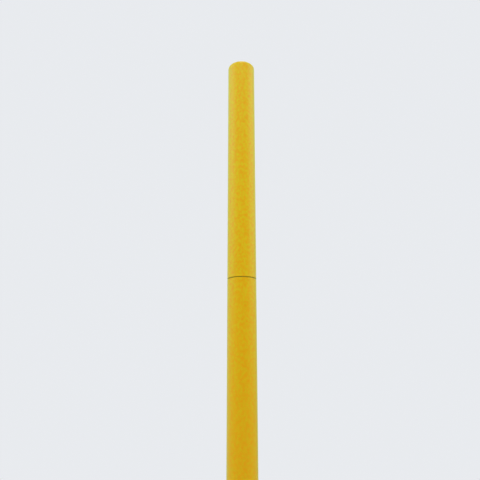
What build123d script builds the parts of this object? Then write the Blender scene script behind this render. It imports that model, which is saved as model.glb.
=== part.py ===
from build123d import *
import math
import os

# Collapsible avalanche probe, standing upright on its point.
# Millimetres, +Z up the shaft, origin at the point of the tip, everything is centred on the Z axis.

# Shaft: six tube sections and a pull grip, all of one outside diameter.
SHAFT_D = 13.0
TUBE_WALL = 0.8
TOTAL_LENGTH = 2400.0
SECTION_PITCH = 400.0
SECTION_COUNT = 6
GRIP_LENGTH = 110.0
TIP_LENGTH = 40.0
TUBE_EDGE = 0.25
SEAT_GAP = 0.05

SHAFT_R = SHAFT_D / 2
BORE_R = SHAFT_R - TUBE_WALL
GRIP_SEAM_Z = TOTAL_LENGTH - GRIP_LENGTH

# Fits inside the tube bore.
BOND_GAP = 0.01
RUNNING_GAP = 0.05
BONDED_R = BORE_R - BOND_GAP
RUNNING_R = BORE_R - RUNNING_GAP

# Tension cord.
CORD_D = 2.0
CORD_R = CORD_D / 2
CORD_HOLE_R = 1.5
CORD_SPLIT_Z = GRIP_SEAM_Z + 12.0

# Tip.
TIP_R = 7.0
TIP_NOSE_R = 2.5
TIP_FULL_Z = 15.0
TIP_LAND_Z = 22.0
TIP_NECK_Z = 32.0
TIP_SHANK = 30.0
CRIMP_R = 2.5
CRIMP_LENGTH = 14.0
CRIMP_HOLE_R = 2.6
CRIMP_HOLE_Z = 34.0
TIP_PLUG_R = 3.6
TIP_PLUG_LENGTH = 8.0

# Ferrules, bonded in the top of each lower tube, with a plastic nose that finds the next tube's bore.
FERRULE_BORE_R = 4.5
FERRULE_BELOW = 34.0
FERRULE_ABOVE = 26.0
NOSE_LENGTH = 7.0
NOSE_STEM = 8.0
NOSE_FOOT_R = 5.5
NOSE_TOP_R = 3.6
NOSE_MOUTH_R = 2.6

# Cord lock: a collet in the spigot on top of the sixth tube.
LOCK_SHANK = 25.0
SPIGOT_LENGTH = 23.0
LOCK_BORE_R = 4.65
CONE_ANGLE = 10.0
CONE_GAP = 0.04
JAW_COUNT = 3
JAW_TOP_R = 4.2
JAW_LENGTH = 8.0
JAW_TOP_Z = GRIP_SEAM_Z + 5.0
JAW_SLIT = 0.4
JAW_NECK_R = 2.55
JAW_HEAD_R = 3.6
JAW_HEAD_THICKNESS = 1.1
JAW_HOLE_R = CORD_R + 0.05
JAW_TOOTH_DEPTH = 0.2
JAW_TOOTH_PITCH = 1.0
ORING_R = 0.6
ORING_Z = GRIP_SEAM_Z + 3.0

CUP_R = 4.55
CUP_CAVITY_R = 4.1
CUP_LIP_R = 3.0
CUP_LIP_THICKNESS = 0.7
CUP_FLOOR_THICKNESS = 1.5
CUP_Z = JAW_TOP_Z + 2.5
STEM_R = 3.0
STEM_THREAD_R = 2.4
KNOB_R = 4.9
KNOB_HEIGHT = 6.0
KNOB_GROOVES = 24
LOCK_CAP_PLUG = 3.0
LOCK_CAP_FLANGE_R = 5.4
LOCK_CAP_FLANGE = 1.2
KNOB_GAP = 0.8

SPRING_WIRE_R = 0.35
SPRING_R = 3.85
SPRING_TURNS = 5

# Pull grip and what it holds.
GRIP_END_WALL = 3.0
GRIP_RIM_R = 1.6
GRIP_CROWN = 0.4
ANCHOR_Z = TOTAL_LENGTH - 24.0
ANCHOR_LENGTH = 16.0
ANCHOR_CRIMP_LENGTH = 8.0
COIL_Z = TOTAL_LENGTH - 71.0
COIL_HEIGHT = 27.0
COIL_R = 4.4

# Heights that follow from the driving dimensions above.
BODY_TOP_Z = GRIP_SEAM_Z + SPIGOT_LENGTH
CONE_SLOPE = math.tan(math.radians(CONE_ANGLE))
SEAT_TOP_Z = JAW_TOP_Z + (LOCK_BORE_R - JAW_TOP_R - CONE_GAP) / CONE_SLOPE
SEAT_FOOT_Z = JAW_TOP_Z - JAW_LENGTH - 0.6
CUP_CAVITY_Z = CUP_Z + CUP_LIP_THICKNESS
CUP_CAVITY_HEIGHT = JAW_HEAD_THICKNESS + 0.3
CUP_TOP_Z = CUP_CAVITY_Z + CUP_CAVITY_HEIGHT + CUP_FLOOR_THICKNESS
CAP_FOOT_Z = BODY_TOP_Z - LOCK_CAP_PLUG
CAP_TOP_Z = BODY_TOP_Z + LOCK_CAP_FLANGE
KNOB_Z = CAP_TOP_Z + KNOB_GAP


def turned(*outline):
    """Solid of revolution about Z from a closed outline of (radius, height) points."""
    return revolve(Plane.XZ * make_face(Polyline(*outline, close=True)), Axis.Z)


def turned_curve(*edges):
    """Solid of revolution about Z from the edges of a closed outline."""
    return revolve(Plane.XZ * make_face(Curve() + list(edges)), Axis.Z)


def rod(radius, low, high):
    """Round bar on the Z axis between two heights."""
    return Pos(0, 0, (low + high) / 2) * Cylinder(radius, high - low)


def ring(outer, inner, low, high):
    """Plain round ring on the Z axis between two heights."""
    return rod(outer, low, high) - rod(inner, low - 1, high + 1)


def section_bottom(index):
    """Height of the lower end of a section's tube."""
    if index == 1:
        return TIP_LENGTH
    return (index - 1) * SECTION_PITCH


def section_top(index):
    """Height of the upper end of a section's tube."""
    if index == SECTION_COUNT:
        return GRIP_SEAM_Z
    return index * SECTION_PITCH


def make_tube(index):
    """Drawn aluminium tube, edges broken inside and out at both ends; the next tube up sits on its top."""
    low = section_bottom(index) + SEAT_GAP
    high = section_top(index)
    return turned(
        (SHAFT_R - TUBE_EDGE, low),
        (SHAFT_R, low + TUBE_EDGE),
        (SHAFT_R, high - TUBE_EDGE),
        (SHAFT_R - TUBE_EDGE, high),
        (BORE_R + TUBE_EDGE, high),
        (BORE_R, high - TUBE_EDGE),
        (BORE_R, low + TUBE_EDGE),
        (BORE_R + TUBE_EDGE, low),
    )


def make_probe_tip():
    """Turned tip: round point, land a little wider than the shaft, neck, and a shank for the first tube."""
    shank_top = TIP_LENGTH + TIP_SHANK
    rise = TIP_FULL_Z - TIP_NOSE_R
    reach = math.hypot(TIP_R, rise)
    flank_angle = math.atan2(rise, TIP_R) - math.acos(TIP_NOSE_R / reach)
    mid_angle = (flank_angle - math.pi / 2) / 2
    nose_mid = (TIP_NOSE_R * math.cos(mid_angle), TIP_NOSE_R + TIP_NOSE_R * math.sin(mid_angle))
    nose_end = (TIP_NOSE_R * math.cos(flank_angle), TIP_NOSE_R + TIP_NOSE_R * math.sin(flank_angle))
    nose = ThreePointArc((0, 0), nose_mid, nose_end)
    side = Polyline(
        nose_end,
        (TIP_R, TIP_FULL_Z),
        (TIP_R, TIP_LAND_Z),
        (SHAFT_R, TIP_NECK_Z),
        (SHAFT_R, TIP_LENGTH),
        (BONDED_R, TIP_LENGTH),
        (BONDED_R, shank_top - 0.6),
        (BONDED_R - 0.6, shank_top),
        (0, shank_top),
    )
    tip = turned_curve(nose, side, Line((0, shank_top), (0, 0)))
    tip -= rod(CRIMP_HOLE_R, CRIMP_HOLE_Z, shank_top)
    tip -= rod(TIP_PLUG_R, shank_top - TIP_PLUG_LENGTH, shank_top + 1)
    for height in (TIP_LENGTH + 8.0, TIP_LENGTH + 16.0):
        tip -= ring(BONDED_R + 1, BONDED_R - 0.4, height, height + 1.2)
    return tip


def make_tip_crimp():
    """Pressed brass sleeve on the lower end of the cord."""
    low = CRIMP_HOLE_Z + 1.0
    sleeve = ring(CRIMP_R, CORD_R + BOND_GAP, low, low + CRIMP_LENGTH)
    for height in (low + 3.5, low + 7.0, low + 10.5):
        groove = Pos(0, 0, height) * Torus(CRIMP_R + 0.35, 0.7)
        sleeve -= groove
    return sleeve


def make_tip_plug():
    """Slotted screw plug that keeps the crimp in the tip."""
    high = TIP_LENGTH + TIP_SHANK
    plug = ring(TIP_PLUG_R - BOND_GAP, CORD_HOLE_R, high - TIP_PLUG_LENGTH, high)
    slot = Pos(0, 0, high) * Box(2 * TIP_PLUG_R, 1.0, 2.4)
    return plug - slot


def make_ferrule(index):
    """Joining sleeve, bonded in the tube below the seam and a running fit in the tube above it."""
    seam = section_top(index)
    low = seam - FERRULE_BELOW
    high = seam + FERRULE_ABOVE
    return turned(
        (FERRULE_BORE_R, low),
        (BONDED_R - 0.5, low),
        (BONDED_R, low + 0.5),
        (BONDED_R, seam - 1.0),
        (RUNNING_R, seam - 0.8),
        (RUNNING_R, high - 0.4),
        (RUNNING_R - 0.3, high),
        (FERRULE_BORE_R, high),
    )


def make_ferrule_nose(index):
    """Tapered plastic nose pressed into the top of a ferrule, with a flared hole for the cord."""
    foot = section_top(index) + FERRULE_ABOVE
    stem_r = FERRULE_BORE_R - BOND_GAP
    return turned(
        (CORD_HOLE_R + 0.8, foot - NOSE_STEM),
        (stem_r - 0.4, foot - NOSE_STEM),
        (stem_r, foot - NOSE_STEM + 0.6),
        (stem_r, foot),
        (NOSE_FOOT_R - 0.3, foot),
        (NOSE_FOOT_R - 0.3, foot + 0.3),
        (NOSE_TOP_R + 0.5, foot + NOSE_LENGTH - 0.9),
        (NOSE_TOP_R, foot + NOSE_LENGTH),
        (NOSE_MOUTH_R, foot + NOSE_LENGTH),
        (CORD_HOLE_R, foot + NOSE_LENGTH - 2.5),
        (CORD_HOLE_R, foot - NOSE_STEM + 2.0),
    )


def make_tension_cord():
    """The cord from its crimp in the tip, straight up through every section, to inside the cord lock."""
    return rod(CORD_R, CRIMP_HOLE_Z + 1.0, CORD_SPLIT_Z)


def make_lock_body():
    """Lock housing: shank bonded in the sixth tube, spigot that the grip slides on, and the jaws' conical seat."""
    low = GRIP_SEAM_Z - LOCK_SHANK
    seat_foot_r = JAW_TOP_R + CONE_GAP - (JAW_TOP_Z - SEAT_FOOT_Z) * CONE_SLOPE
    body = turned(
        (CORD_HOLE_R + 1.0, low),
        (BONDED_R - 0.5, low),
        (BONDED_R, low + 0.5),
        (BONDED_R, GRIP_SEAM_Z - 1.0),
        (RUNNING_R, GRIP_SEAM_Z - 0.8),
        (RUNNING_R, BODY_TOP_Z - 0.4),
        (RUNNING_R - 0.4, BODY_TOP_Z),
        (LOCK_BORE_R, BODY_TOP_Z),
        (LOCK_BORE_R, SEAT_TOP_Z),
        (seat_foot_r, SEAT_FOOT_Z),
        (CORD_HOLE_R, SEAT_FOOT_Z),
        (CORD_HOLE_R, low + 2.0),
    )
    groove_half = ORING_R + 0.15
    groove_r = RUNNING_R + RUNNING_GAP - 2 * ORING_R - 0.04
    return body - ring(SHAFT_R, groove_r, ORING_Z - groove_half, ORING_Z + groove_half)


def make_lock_oring():
    """Rubber ring that holds the grip on the spigot and keeps water out."""
    return Pos(0, 0, ORING_Z) * Torus(BORE_R - 0.02 - ORING_R, ORING_R)


def make_lock_cap():
    """Ring screwed into the top of the lock, with two spanner slots; the spring bears on its underside."""
    hole_r = STEM_R + 0.1
    cap = turned(
        (hole_r, CAP_FOOT_Z),
        (LOCK_BORE_R - BOND_GAP, CAP_FOOT_Z),
        (LOCK_BORE_R - BOND_GAP, BODY_TOP_Z),
        (LOCK_CAP_FLANGE_R - 0.4, BODY_TOP_Z),
        (LOCK_CAP_FLANGE_R - 0.2, BODY_TOP_Z + 0.2),
        (LOCK_CAP_FLANGE_R - 0.2, CAP_TOP_Z - 0.2),
        (LOCK_CAP_FLANGE_R - 0.4, CAP_TOP_Z),
        (hole_r, CAP_TOP_Z),
    )
    return cap - Pos(0, 0, CAP_TOP_Z) * Box(2 * SHAFT_R, 1.2, 1.2)


def make_release_sleeve():
    """Lifting sleeve: a cup that holds the jaw heads, and a stem up through the spring and the cap."""
    stem_top = KNOB_Z + KNOB_HEIGHT - 1.0
    return turned(
        (CUP_LIP_R, CUP_Z),
        (CUP_R, CUP_Z),
        (CUP_R, CUP_TOP_Z),
        (STEM_R, CUP_TOP_Z),
        (STEM_R, KNOB_Z),
        (STEM_THREAD_R, KNOB_Z),
        (STEM_THREAD_R, stem_top),
        (CORD_HOLE_R, stem_top),
        (CORD_HOLE_R, CUP_CAVITY_Z + CUP_CAVITY_HEIGHT),
        (CUP_CAVITY_R, CUP_CAVITY_Z + CUP_CAVITY_HEIGHT),
        (CUP_CAVITY_R, CUP_CAVITY_Z),
        (CUP_LIP_R, CUP_CAVITY_Z),
    )


def make_release_knob():
    """Fluted ring screwed on the stem, lifted with the fingertips to free the cord."""
    top = KNOB_Z + KNOB_HEIGHT
    knob = turned(
        (STEM_THREAD_R + BOND_GAP, KNOB_Z),
        (KNOB_R - 0.4, KNOB_Z),
        (KNOB_R, KNOB_Z + 0.4),
        (KNOB_R, top - 0.5),
        (KNOB_R - 0.5, top),
        (CORD_HOLE_R + 0.7, top),
        (CORD_HOLE_R, top - 0.8),
        (STEM_THREAD_R + BOND_GAP, top - 0.8),
    )
    flute = Pos(KNOB_R + 0.12, 0, KNOB_Z + KNOB_HEIGHT / 2) * Cylinder(0.35, KNOB_HEIGHT)
    return knob - [Rot(0, 0, 360 / KNOB_GROOVES * n) * flute for n in range(KNOB_GROOVES)]


def jaw_blank():
    """The ring that the three jaws are cut from: cone, neck and head, with teeth in the bore."""
    foot = JAW_TOP_Z - JAW_LENGTH
    head_foot = CUP_CAVITY_Z + 0.1
    head_top = head_foot + JAW_HEAD_THICKNESS
    blank = turned(
        (JAW_HOLE_R, foot),
        (JAW_TOP_R - JAW_LENGTH * CONE_SLOPE, foot),
        (JAW_TOP_R, JAW_TOP_Z),
        (JAW_NECK_R, JAW_TOP_Z),
        (JAW_NECK_R, head_foot),
        (JAW_HEAD_R, head_foot),
        (JAW_HEAD_R, head_top),
        (JAW_HOLE_R + 0.5, head_top),
        (JAW_HOLE_R + 0.5, JAW_TOP_Z),
        (JAW_HOLE_R, JAW_TOP_Z - 0.5),
    )
    tooth_count = int((JAW_LENGTH - 1.0) / JAW_TOOTH_PITCH)
    for tooth in range(tooth_count):
        low = foot + 0.6 + tooth * JAW_TOOTH_PITCH
        blank -= turned(
            (0, low),
            (JAW_HOLE_R, low),
            (JAW_HOLE_R + JAW_TOOTH_DEPTH, low + 0.2),
            (JAW_HOLE_R, low + 0.8),
            (0, low + 0.8),
        )
    return blank


def make_lock_jaw(number, blank):
    """One third of the blank, less half a saw slit on each side; jaw 1 faces +X."""
    middle = 360 / JAW_COUNT * (number - 1)
    half = 180 / JAW_COUNT
    inset = JAW_SLIT / 2 / math.sin(math.radians(half))
    reach = 4 * JAW_TOP_R
    apex = (inset, 0)
    left = (inset + reach * math.cos(math.radians(half)), reach * math.sin(math.radians(half)))
    right = (left[0], -left[1])
    wedge = extrude(make_face(Polyline(apex, right, left, close=True)), 30)
    return blank & (Rot(0, 0, middle) * Pos(0, 0, JAW_TOP_Z - 15) * wedge)


def make_lock_spring():
    """Coil spring round the stem, pressing the sleeve and the jaws down into the cone."""
    low = CUP_TOP_Z + 0.05 + SPRING_WIRE_R
    height = CAP_FOOT_Z - CUP_TOP_Z - 0.1 - 2 * SPRING_WIRE_R
    path = Helix(height / SPRING_TURNS, height, SPRING_R)
    start = Plane(path @ 0, z_dir=path % 0)
    return Pos(0, 0, low) * sweep(start * Circle(SPRING_WIRE_R), path)


def make_grip_tube():
    """Pull grip: a tube of the shaft's own diameter with a closed, slightly crowned end and a rounded rim."""
    low = GRIP_SEAM_Z + SEAT_GAP
    flat_r = SHAFT_R - GRIP_RIM_R
    rim_z = TOTAL_LENGTH - GRIP_CROWN
    half_turn = math.cos(math.radians(45))
    rim_mid = (flat_r + GRIP_RIM_R * half_turn, rim_z - GRIP_RIM_R + GRIP_RIM_R * half_turn)
    crown_r = (flat_r**2 + GRIP_CROWN**2) / (2 * GRIP_CROWN)
    half_r = flat_r / 2
    crown_mid = (half_r, TOTAL_LENGTH - crown_r + math.sqrt(crown_r**2 - half_r**2))
    wall = Polyline(
        (0, TOTAL_LENGTH),
        (0, TOTAL_LENGTH - GRIP_END_WALL),
        (BORE_R, TOTAL_LENGTH - GRIP_END_WALL),
        (BORE_R, low + TUBE_EDGE),
        (BORE_R + TUBE_EDGE, low),
        (SHAFT_R - TUBE_EDGE, low),
        (SHAFT_R, low + TUBE_EDGE),
        (SHAFT_R, rim_z - GRIP_RIM_R),
    )
    rim = ThreePointArc((SHAFT_R, rim_z - GRIP_RIM_R), rim_mid, (flat_r, rim_z))
    crown = ThreePointArc((flat_r, rim_z), crown_mid, (0, TOTAL_LENGTH))
    return turned_curve(wall, rim, crown)


def make_anchor_plug():
    """Plug bonded high in the grip; the cord comes up through it to its crimp."""
    plug = turned(
        (CORD_HOLE_R, ANCHOR_Z),
        (BONDED_R - 0.6, ANCHOR_Z),
        (BONDED_R, ANCHOR_Z + 0.6),
        (BONDED_R, ANCHOR_Z + ANCHOR_LENGTH - 0.6),
        (BONDED_R - 0.6, ANCHOR_Z + ANCHOR_LENGTH),
        (CRIMP_HOLE_R, ANCHOR_Z + ANCHOR_LENGTH),
        (CRIMP_HOLE_R, ANCHOR_Z + ANCHOR_LENGTH - ANCHOR_CRIMP_LENGTH),
        (CORD_HOLE_R, ANCHOR_Z + ANCHOR_LENGTH - ANCHOR_CRIMP_LENGTH),
    )
    for height in (ANCHOR_Z + 4.0, ANCHOR_Z + 9.0):
        plug -= ring(BONDED_R + 1, BONDED_R - 0.4, height, height + 1.2)
    return plug


def make_anchor_crimp():
    """Pressed brass sleeve on the upper end of the cord."""
    low = ANCHOR_Z + ANCHOR_LENGTH - ANCHOR_CRIMP_LENGTH + BOND_GAP
    sleeve = ring(CRIMP_R, CORD_R + BOND_GAP, low, low + ANCHOR_CRIMP_LENGTH)
    for height in (low + 2.5, low + 5.5):
        sleeve -= Pos(0, 0, height) * Torus(CRIMP_R + 0.35, 0.7)
    return sleeve


def make_cord_tail():
    """The cord from inside the lock up to the coil, which pays out when the grip is pulled."""
    return rod(CORD_R, CORD_SPLIT_Z, COIL_Z)


def make_stowed_coil():
    """Outer shape of the spare cord wound inside the grip, with its runs in from and back to the axis."""
    top = COIL_Z + COIL_HEIGHT
    coil = ring(COIL_R + CORD_R, COIL_R - CORD_R, COIL_Z, top)
    lower_run = Pos(COIL_R / 2, 0, COIL_Z + CORD_R) * Rot(0, 90, 0) * Cylinder(CORD_R, COIL_R)
    upper_run = Pos(COIL_R / 2, 0, top - CORD_R) * Rot(0, 90, 0) * Cylinder(CORD_R, COIL_R)
    lower_turn = rod(CORD_R, COIL_Z, COIL_Z + 2 * CORD_R)
    riser = rod(CORD_R, top - 2 * CORD_R, ANCHOR_Z + ANCHOR_LENGTH)
    return coil + lower_run + upper_run + lower_turn + riser


def write(node, shape):
    """One STEP file per piece, named after it."""
    shape.label = node
    export_step(shape, f"parts/{node}.step")


def main():
    os.makedirs("parts", exist_ok=True)

    write("probe_tip", make_probe_tip())
    write("tip_crimp", make_tip_crimp())
    write("tip_plug", make_tip_plug())
    write("tension_cord", make_tension_cord())

    for index in range(1, SECTION_COUNT + 1):
        write(f"tube_{index}", make_tube(index))
    for index in range(1, SECTION_COUNT):
        write(f"ferrule_{index}", make_ferrule(index))
        write(f"ferrule_nose_{index}", make_ferrule_nose(index))

    write("lock_body", make_lock_body())
    write("lock_oring", make_lock_oring())
    write("lock_cap", make_lock_cap())
    write("lock_spring", make_lock_spring())
    write("release_sleeve", make_release_sleeve())
    write("release_knob", make_release_knob())
    blank = jaw_blank()
    for number in range(1, JAW_COUNT + 1):
        write(f"lock_jaw_{number}", make_lock_jaw(number, blank))

    write("grip_tube", make_grip_tube())
    write("anchor_plug", make_anchor_plug())
    write("anchor_crimp", make_anchor_crimp())
    write("cord_tail", make_cord_tail())
    write("stowed_coil", make_stowed_coil())


main()
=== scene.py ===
import math

import bpy
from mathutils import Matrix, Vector


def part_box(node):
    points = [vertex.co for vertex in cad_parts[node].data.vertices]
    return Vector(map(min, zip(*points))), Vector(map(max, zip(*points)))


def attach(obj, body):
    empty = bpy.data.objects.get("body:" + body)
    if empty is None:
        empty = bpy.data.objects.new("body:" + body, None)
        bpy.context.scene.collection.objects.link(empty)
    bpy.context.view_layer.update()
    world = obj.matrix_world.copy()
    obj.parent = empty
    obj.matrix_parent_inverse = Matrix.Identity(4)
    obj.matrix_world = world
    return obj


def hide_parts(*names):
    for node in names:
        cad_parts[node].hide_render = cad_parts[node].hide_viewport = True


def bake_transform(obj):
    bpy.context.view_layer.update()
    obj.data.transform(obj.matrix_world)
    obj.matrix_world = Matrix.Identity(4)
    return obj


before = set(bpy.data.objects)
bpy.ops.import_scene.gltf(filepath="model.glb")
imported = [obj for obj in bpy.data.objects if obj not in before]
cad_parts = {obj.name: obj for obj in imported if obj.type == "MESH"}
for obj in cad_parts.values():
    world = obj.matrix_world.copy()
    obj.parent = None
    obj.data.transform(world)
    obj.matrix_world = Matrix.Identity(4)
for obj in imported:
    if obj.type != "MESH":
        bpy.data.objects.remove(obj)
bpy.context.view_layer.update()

MM = 0.001

# ---------------------------------------------------------------------------------------------
# Studio: a plain pale floor under the point of the tip, a soft sky all round, a key box overhead and a
# soft box on each side. The camera stands close to the shaft, a little below the grip's seam, and looks
# up along it to the closed end.
grip_low, grip_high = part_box("grip_tube")
shaft_r = grip_high.x
SHAFT_D = 2 * shaft_r

CAMERA_BACK = 18.05 * SHAFT_D
CAMERA_BELOW_SEAM = 3.89 * SHAFT_D
CAMERA_UP_DEG = 16.4
CAMERA_TURN_DEG = 0.22
CAMERA_ROLL_DEG = 0.1

camera_data = bpy.data.cameras.new("camera")
camera_data.lens = 40.0
camera_data.sensor_width = 36.0
camera_data.clip_start = 0.01
camera = bpy.data.objects.new("camera", camera_data)
bpy.context.scene.collection.objects.link(camera)
camera.location = (0, -CAMERA_BACK, grip_low.z - CAMERA_BELOW_SEAM)
camera.rotation_euler = (
    math.radians(90 + CAMERA_UP_DEG),
    math.radians(CAMERA_ROLL_DEG),
    math.radians(CAMERA_TURN_DEG),
)
bpy.context.scene.camera = camera
bpy.context.scene.view_settings.view_transform = "Standard"

FLOOR_RADIUS = 14.0
bpy.ops.mesh.primitive_circle_add(vertices=96, radius=FLOOR_RADIUS, fill_type="NGON")
floor = bpy.context.object
floor.name = "floor"
floor_paint = bpy.data.materials.new("pale_floor")
floor_paint.use_nodes = True
floor_shader = floor_paint.node_tree.nodes["Principled BSDF"]
floor_shader.inputs["Base Color"].default_value = (0.82, 0.79, 0.77, 1)
floor_shader.inputs["Roughness"].default_value = 0.9
floor.data.materials.append(floor_paint)

# The light of the sky is cool and bright overhead and at the back, dim and warm low down, on the right
# and behind the camera. Seen by itself it is one pale colour.
SKY_SEEN = (0.81, 0.83, 0.86)
HIGH_LIGHT = (0.66, 0.78, 0.88)
LOW_LIGHT = (0.27, 0.25, 0.19)
TOWARDS_HIGH = (-0.45, 0.95, 2.0)
HIGH_FROM = 0.0
HIGH_TO = 0.9


def studio_world():
    """World whose light is mixed by how far a direction points to the bright side of the sky."""
    world = bpy.data.worlds.new("pale_studio")
    world.use_nodes = True
    tree = world.node_tree
    place = tree.nodes.new("ShaderNodeTexCoord")
    towards = tree.nodes.new("ShaderNodeVectorMath")
    towards.operation = "DOT_PRODUCT"
    towards.inputs[1].default_value = TOWARDS_HIGH
    tree.links.new(place.outputs["Generated"], towards.inputs[0])
    share = tree.nodes.new("ShaderNodeMapRange")
    share.interpolation_type = "SMOOTHSTEP"
    share.inputs["From Min"].default_value = HIGH_FROM
    share.inputs["From Max"].default_value = HIGH_TO
    tree.links.new(towards.outputs["Value"], share.inputs["Value"])
    light = tree.nodes.new("ShaderNodeMix")
    light.data_type = "RGBA"
    light.inputs["A"].default_value = (*LOW_LIGHT, 1)
    light.inputs["B"].default_value = (*HIGH_LIGHT, 1)
    tree.links.new(share.outputs["Result"], light.inputs["Factor"])
    seen = tree.nodes.new("ShaderNodeMix")
    seen.data_type = "RGBA"
    seen.inputs["B"].default_value = (*SKY_SEEN, 1)
    rays = tree.nodes.new("ShaderNodeLightPath")
    tree.links.new(rays.outputs["Is Camera Ray"], seen.inputs["Factor"])
    tree.links.new(light.outputs["Result"], seen.inputs["A"])
    tree.links.new(seen.outputs["Result"], tree.nodes["Background"].inputs["Color"])
    return world


bpy.context.scene.world = studio_world()


def soft_box(name, place, aim, size, power, colour):
    """Square area light of a given side in metres, turned to face the aim."""
    lamp = bpy.data.lights.new(name, "AREA")
    lamp.size = size
    lamp.energy = power
    lamp.color = colour
    box = bpy.data.objects.new(name, lamp)
    bpy.context.scene.collection.objects.link(box)
    box.location = place
    box.rotation_euler = (Vector(aim) - Vector(place)).to_track_quat("-Z", "Y").to_euler()
    return box


KEY_COLOUR = (1.0, 0.85, 0.58)
SIDE_COLOUR = (0.86, 1.0, 0.98)
KEY_POWER = 63
SIDE_POWER = 13
KEY_SIZE = 1.0
SIDE_SIZE = 1.6
grip_middle = (0, 0, (grip_low.z + grip_high.z) / 2)
soft_box("key_box", (0.1, -0.95, grip_high.z + 2.8), grip_middle, KEY_SIZE, KEY_POWER, KEY_COLOUR)
soft_box("left_box", (-2.2, -0.4, grip_high.z + 1.2), grip_middle, SIDE_SIZE, SIDE_POWER, SIDE_COLOUR)
soft_box("right_box", (2.2, -0.2, grip_high.z + 0.9), grip_middle, SIDE_SIZE, SIDE_POWER, SIDE_COLOUR)

# ---------------------------------------------------------------------------------------------
# Shaft tubes: drawn aluminium, 13 mm outside and 0.8 mm thick, cut square, edges broken, and powder
# coated in a satin yellow outside. The bore stays bare. Each tube stands on the one below it, over
# that one's ferrule.
ROUND_STEPS = 128
WALL = 0.8 * MM
EDGE = 0.25 * MM
SECTIONS = 6
bore_r = shaft_r - WALL


def place_piece(piece, finish, body, slot, *nodes):
    """Gives a piece its finish, the body that it moves with, and the nodes that it stands for."""
    piece.data.materials.append(finish)
    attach(piece, body)
    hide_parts(*nodes)
    return piece


def start_piece():
    if bpy.context.object and bpy.context.object.mode != "OBJECT":
        bpy.ops.object.mode_set(mode="OBJECT")
    bpy.ops.object.select_all(action="DESELECT")


def finish_piece(piece, name, smooth_deg=30):
    """Named, smooth but for its edges, with its place in its mesh."""
    bpy.ops.object.mode_set(mode="OBJECT")
    piece.name = name
    piece.data.name = name
    bpy.ops.object.transform_apply(location=True, rotation=True, scale=True)
    bpy.ops.object.shade_smooth_by_angle(angle=math.radians(smooth_deg))
    return piece


def turned(name, outline, steps=ROUND_STEPS, smooth_deg=30, middle=0.0, sweep=2 * math.pi):
    """A lathe piece: one vertex extruded round a closed outline of (radius, height), then spun about Z.
    A sweep of less than a full turn is a solid sector, centred on the middle angle."""
    begin = middle + sweep / 2
    across, aside = math.cos(begin), math.sin(begin)
    corners = [Vector((radius * across, radius * aside, height)) for radius, height in outline]
    start_piece()
    bpy.ops.mesh.primitive_plane_add(size=1 * MM, location=corners[0])
    piece = bpy.context.object
    bpy.ops.object.mode_set(mode="EDIT")
    bpy.ops.mesh.select_mode(type="VERT")
    bpy.ops.mesh.select_all(action="SELECT")
    bpy.ops.mesh.merge(type="CENTER")
    for corner, following in zip(corners, corners[1:] + corners[:1]):
        bpy.ops.mesh.extrude_region_move(TRANSFORM_OT_translate={"value": following - corner})
    bpy.ops.mesh.select_all(action="SELECT")
    bpy.ops.mesh.remove_doubles(threshold=0.001 * MM)
    if sweep < 2 * math.pi:
        bpy.ops.mesh.edge_face_add()
    bpy.ops.mesh.spin(steps=steps, angle=sweep, center=(0, 0, 0), axis=(0, 0, 1))
    bpy.ops.mesh.select_all(action="SELECT")
    bpy.ops.mesh.remove_doubles(threshold=0.001 * MM)
    bpy.ops.mesh.normals_make_consistent(inside=False)
    return finish_piece(piece, name, smooth_deg)


def arc(centre_r, centre_z, radius, from_deg, to_deg, steps=8):
    """Points of a round stretch of an outline, both ends included."""
    turns = (math.radians(from_deg + (to_deg - from_deg) * step / steps) for step in range(steps + 1))
    return [(centre_r + radius * math.cos(turn), centre_z + radius * math.sin(turn)) for turn in turns]


def new_group(name, inputs, outputs):
    """Shader node group with float inputs and outputs; gives the group and its two end nodes."""
    group = bpy.data.node_groups.new(name, "ShaderNodeTree")
    for label, value in inputs.items():
        socket = group.interface.new_socket(label, in_out="INPUT", socket_type="NodeSocketFloat")
        socket.default_value = value
    for label in outputs:
        group.interface.new_socket(label, in_out="OUTPUT", socket_type="NodeSocketFloat")
    return group, group.nodes.new("NodeGroupInput"), group.nodes.new("NodeGroupOutput")


def object_place(tree, stretch=(1.0, 1.0, 1.0)):
    """Object coordinates, stretched along the axes."""
    place = tree.nodes.new("ShaderNodeTexCoord")
    mapping = tree.nodes.new("ShaderNodeMapping")
    mapping.inputs["Scale"].default_value = stretch
    tree.links.new(place.outputs["Object"], mapping.inputs["Vector"])
    return mapping.outputs["Vector"]


def noise(tree, place, scale, detail=2.0, roughness=0.5):
    """Noise at a place; the scale is a number or another socket."""
    texture = tree.nodes.new("ShaderNodeTexNoise")
    texture.inputs["Detail"].default_value = detail
    texture.inputs["Roughness"].default_value = roughness
    tree.links.new(place, texture.inputs["Vector"])
    if isinstance(scale, bpy.types.NodeSocket):
        tree.links.new(scale, texture.inputs["Scale"])
    else:
        texture.inputs["Scale"].default_value = scale
    return texture.outputs["Fac"]


def span(tree, value, given, wanted=(0.0, 1.0), smooth=False):
    """A value brought from one range to another, and held to it."""
    change = tree.nodes.new("ShaderNodeMapRange")
    if smooth:
        change.interpolation_type = "SMOOTHSTEP"
    change.inputs["From Min"].default_value = given[0]
    change.inputs["From Max"].default_value = given[1]
    change.inputs["To Min"].default_value = wanted[0]
    change.inputs["To Max"].default_value = wanted[1]
    tree.links.new(value, change.inputs["Value"])
    return change.outputs["Result"]


def mix(tree, factor, first, second):
    """A colour between two, each a triple or a socket."""
    blend = tree.nodes.new("ShaderNodeMix")
    blend.data_type = "RGBA"
    tree.links.new(factor, blend.inputs["Factor"])
    for label, colour in (("A", first), ("B", second)):
        if isinstance(colour, bpy.types.NodeSocket):
            tree.links.new(colour, blend.inputs[label])
        else:
            blend.inputs[label].default_value = (*colour, 1)
    return blend.outputs["Result"]


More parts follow.
